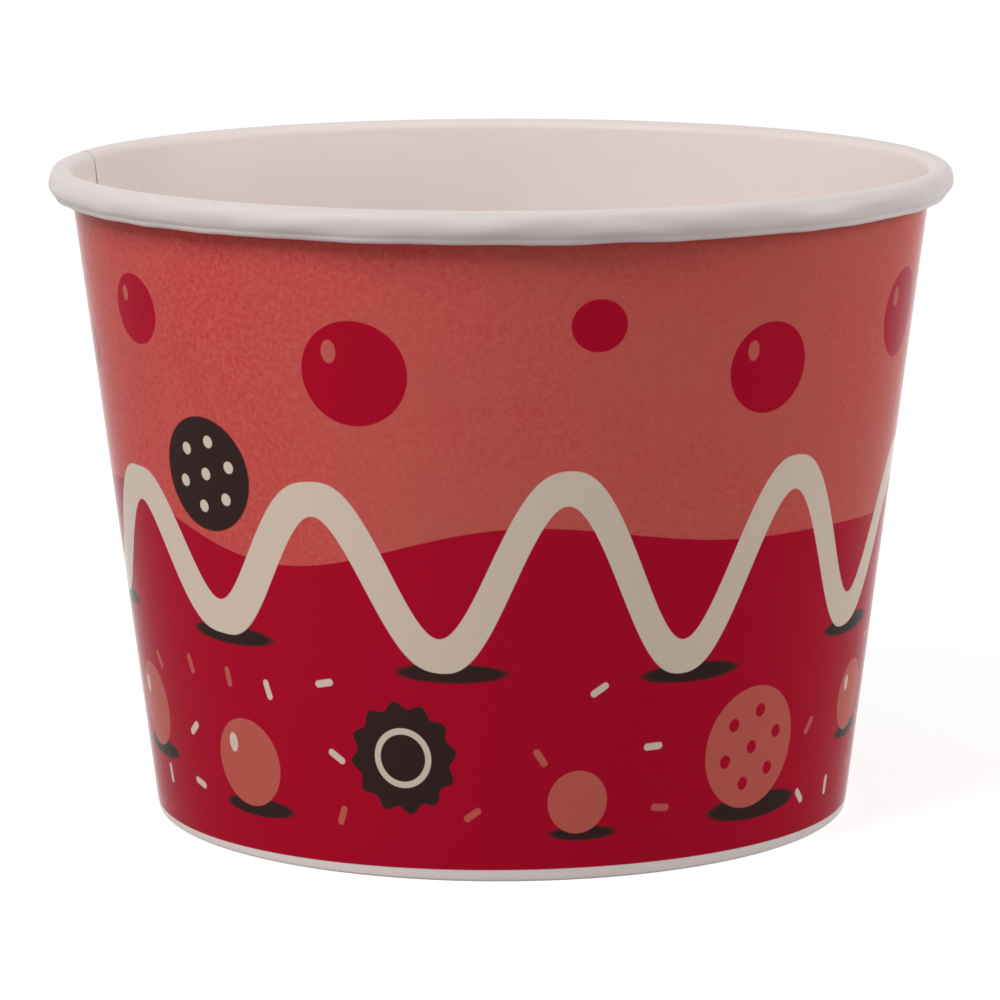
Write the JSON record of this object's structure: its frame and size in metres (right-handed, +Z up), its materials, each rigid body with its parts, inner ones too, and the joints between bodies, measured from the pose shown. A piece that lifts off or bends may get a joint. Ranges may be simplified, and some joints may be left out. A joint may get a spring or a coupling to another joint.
{
  "type": "paper dessert cup",
  "caption": "Round tapered paper tub for a cold dessert, with a rolled rim, a lapped side seam and a recessed bottom disc held in the folded foot, printed outside and white inside",
  "frame": {"origin": "centre of the foot, on the surface the cup stands on", "axes": "+Z up along the cup's axis; +X to the right and -Y towards the viewer of the picture; the side seam is at the back left, about 166 degrees from +X"},
  "size_m": [0.115, 0.115, 0.083],
  "materials": {
    "printed_board": "satin",
    "white_board": "satin"
  },
  "bodies": {
    "root": {"side_wall": "printed_board", "bottom_disc": "white_board"}
  },
  "joints": []
}
